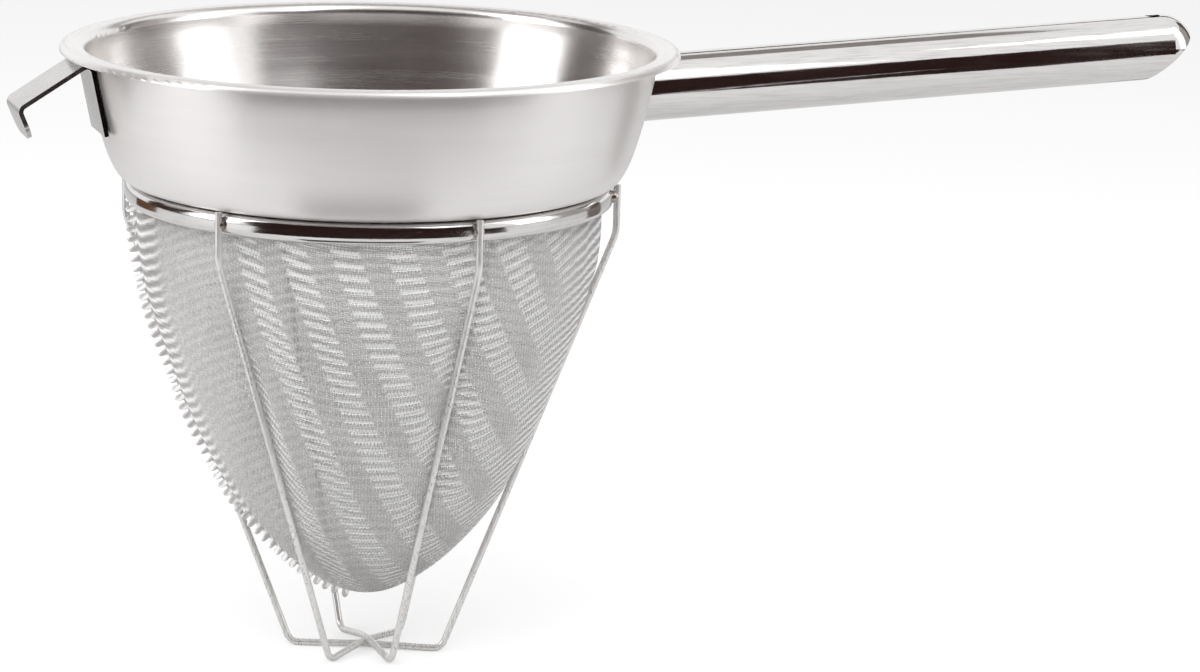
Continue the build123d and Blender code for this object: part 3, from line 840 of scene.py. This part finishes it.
view = {
    "objectTurn": 15.5,       # turn of the camera round the object, degrees
    "back": 1291.9, "up": 191.4,      # its distance and height, mm
    "yaw": 3.645, "pitch": -12.852, "roll": 1.417,
    "lens": 111.76, "sensor": 36, "nearest": 0.05, "furthest": 50,
}


def addCamera():
    turn = math.radians(-view["objectTurn"])
    yaw, pitch, roll = (math.radians(view[name]) for name in ("yaw", "pitch", "roll"))
    ahead = Vector((math.sin(yaw) * math.cos(pitch), math.cos(yaw) * math.cos(pitch), math.sin(pitch)))
    level = Vector((math.cos(yaw), -math.sin(yaw), 0))
    up = level.cross(ahead)
    right = level * math.cos(roll) + up * math.sin(roll)
    top = up * math.cos(roll) - level * math.sin(roll)
    swing = Matrix.Rotation(turn, 3, "Z")
    data = bpy.data.cameras.new("camera")
    data.sensor_width = view["sensor"]
    data.lens = view["lens"]
    data.clip_start = view["nearest"]
    data.clip_end = view["furthest"]
    camera = bpy.data.objects.new("camera", data)
    scene.collection.objects.link(camera)
    axes = Matrix((swing @ right, swing @ top, swing @ -ahead)).transposed()
    place = swing @ Vector((0, -view["back"], view["up"])) * mm
    camera.matrix_world = Matrix.Translation(place) @ axes.to_4x4()
    scene.camera = camera


addCamera()


# Studio: pale floor, white surround, soft lamps and dark cards that the polished steel mirrors

studio = {
    "floorTone": 0.66, "floorReach": 6.0,
    "floorLift": 0.36,        # own light that the camera sees, so that the floor reads as white
    "surround": 1.0,          # white where it is seen
    "surroundLight": 0.72,    # and its share in the light
    "aim": (0.0, 0.0, -0.05),
    "lamps": {      # turn and height seen from the camera, width and height in degrees, distance, brightness
        "leftBox": (-75.5, 26, 29, 56, 1.6, 2.0), "rightBox": (80, 26, 23, 56, 1.6, 1.4),
        "frontStrip": (37, 56, 18, 46, 1.6, 1.5), "softFill": (-12, 34, 70, 60, 1.5, 1.45),
    },
    "cards": {      # what the polished steel mirrors above the table: turn, height, width, height, distance, colour
        "roomDark": (-17, 20, 82, 60, 1.9, (0.028, 0.014, 0.013)),
        "handleDark": (37, 9, 30, 37, 1.9, (0.028, 0.014, 0.013)),
        "leftGap": (-108, 20, 30, 52, 1.9, (0.05, 0.035, 0.03)),
        "rightGap": (108, 14, 24, 46, 1.9, (0.40, 0.38, 0.37)),
        "rightDark": (127, 14, 13, 46, 1.9, (0.11, 0.09, 0.08)),
        "backStrip": (200, 40, 120, 9, 1.9, (0.10, 0.08, 0.07)),
        "overhead": (200, 68, 60, 24, 1.9, (0.30, 0.28, 0.27)),
    },
    "widestCard": 120,        # a hung card is flat, so its width ends here, degrees
    "tableGap": 0.5, "tableSteps": 8,      # height of the cards on the table, mm, and straight parts of their arcs
    "tableCards": {      # on the table: turn, width, nearest and furthest reach in m, colour
        "tableEdge": (-4, 96, 0.48, 3.0, (0.028, 0.016, 0.015)),
        "tableShade": (-4, 58, 0.12, 0.24, (0.12, 0.11, 0.105)),
        "tableRight": (54, 18, 0.66, 3.0, (0.028, 0.016, 0.015)),
        "tableBrown": (-124, 22, 0.70, 3.0, (0.14, 0.075, 0.045)),
        "tableFar": (126, 16, 0.50, 3.0, (0.2, 0.17, 0.16)),
    },
}


def awayFrom(turn, height):
    bearing, rise = math.radians(turn - view["objectTurn"]), math.radians(height)
    return Vector((math.sin(bearing) * math.cos(rise), -math.cos(bearing) * math.cos(rise), math.sin(rise)))


def hungAt(turn, height, distance):
    away = awayFrom(turn, height)
    place = Vector(studio["aim"]) + away * distance
    return Matrix.Translation(place) @ away.to_track_quat("Z", "Y").to_matrix().to_4x4()


def halfSpan(distance, degrees):
    return distance * math.tan(math.radians(degrees / 2))


def squareCorners(halfWide, halfTall):
    return [(x * halfWide, y * halfTall) for x, y in ((-1, -1), (1, -1), (1, 1), (-1, 1))]


def addLamps():
    for name, (turn, height, wide, tall, distance, brightness) in studio["lamps"].items():
        lamp = bpy.data.lights.new(name, "AREA")
        lamp.shape = "RECTANGLE"
        lamp.size = 2 * halfSpan(distance, wide)
        lamp.size_y = 2 * halfSpan(distance, tall)
        lamp.energy = brightness * math.pi * lamp.size * lamp.size_y
        holder = bpy.data.objects.new(name, lamp)
        scene.collection.objects.link(holder)
        holder.matrix_world = hungAt(turn, height, distance)
        holder.visible_camera = False
        holder.visible_glossy = name != "softFill"      # this one only lightens the cloth


def emptyMaterial(name):
    material = bpy.data.materials.new(name)
    material.use_nodes = True
    material.node_tree.nodes.clear()
    return material, material.node_tree, addNode(material.node_tree, "ShaderNodeOutputMaterial")


def plainGlow(name, colour):
    material, tree, output = emptyMaterial(name)
    glow = addNode(tree, "ShaderNodeEmission", {"Color": colour + (1,), "Strength": 1.0})
    tree.links.new(glow.outputs["Emission"], output.inputs["Surface"])
    return material


def addCard(name, corners, colour):      # seen only in the steel, and casts no shadow
    mesh = bpy.data.meshes.new(name)
    mesh.from_pydata(corners, [], [tuple(range(len(corners)))])
    mesh.materials.append(plainGlow(name, colour))
    card = bpy.data.objects.new(name, mesh)
    scene.collection.objects.link(card)
    card.visible_camera = False
    card.visible_diffuse = False
    card.visible_shadow = False


def addCards():
    for name, (turn, height, wide, tall, distance, colour) in studio["cards"].items():
        halfWide = halfSpan(distance, min(wide, studio["widestCard"]))
        place = hungAt(turn, height, distance)
        corners = [place @ Vector((x, y, 0)) for x, y in squareCorners(halfWide, halfSpan(distance, tall))]
        addCard(name, corners, colour)
    height = cadLow.z + studio["tableGap"] * mm
    count = studio["tableSteps"]
    for name, (turn, wide, near, far, colour) in studio["tableCards"].items():
        ways = [awayFrom(turn - wide / 2 + wide * step / count, 0) for step in range(count + 1)]
        edge = [way * near for way in ways] + [way * far for way in reversed(ways)]
        addCard(name, [(point.x, point.y, height) for point in edge], colour)


def seenStraight(tree):      # 1 for what the camera sees, past the open mesh too
    path = addNode(tree, "ShaderNodeLightPath").outputs
    return path, sums(tree, "MAXIMUM", path["Is Camera Ray"], path["Is Transmission Ray"])


def addFloor():
    reach = studio["floorReach"]
    corners = [(x, y, cadLow.z) for x, y in squareCorners(reach, reach)]
    mesh = bpy.data.meshes.new("floor")
    mesh.from_pydata(corners, [], [(0, 1, 2, 3)])
    material, tree, output = emptyMaterial("paleFloor")
    tone = studio["floorTone"]
    base = addNode(tree, "ShaderNodeBsdfDiffuse", {"Color": (tone, tone, tone, 1)})
    strength = sums(tree, "MULTIPLY", seenStraight(tree)[1], studio["floorLift"])
    lift = addNode(tree, "ShaderNodeEmission", {"Color": (1, 1, 1, 1), "Strength": strength})
    both = addNode(tree, "ShaderNodeAddShader")
    tree.links.new(base.outputs["BSDF"], both.inputs[0])
    tree.links.new(lift.outputs["Emission"], both.inputs[1])
    tree.links.new(both.outputs["Shader"], output.inputs["Surface"])
    mesh.materials.append(material)
    floor = bpy.data.objects.new("floor", mesh)
    scene.collection.objects.link(floor)


def addSurround():
    world = bpy.data.worlds.new("surround")
    scene.world = world
    world.use_nodes = True
    tree = world.node_tree
    background = tree.nodes["Background"]
    background.inputs["Color"].default_value = (1, 1, 1, 1)
    path, straight = seenStraight(tree)
    seen = sums(tree, "MAXIMUM", straight, path["Is Glossy Ray"])
    inputs = {"Value": seen, "To Min": studio["surroundLight"], "To Max": studio["surround"]}
    level = addNode(tree, "ShaderNodeMapRange", inputs)
    tree.links.new(level.outputs["Result"], background.inputs["Strength"])


addLamps()
addCards()
addFloor()
addSurround()
scene.view_settings.view_transform = "Standard"
print("stage: studio")
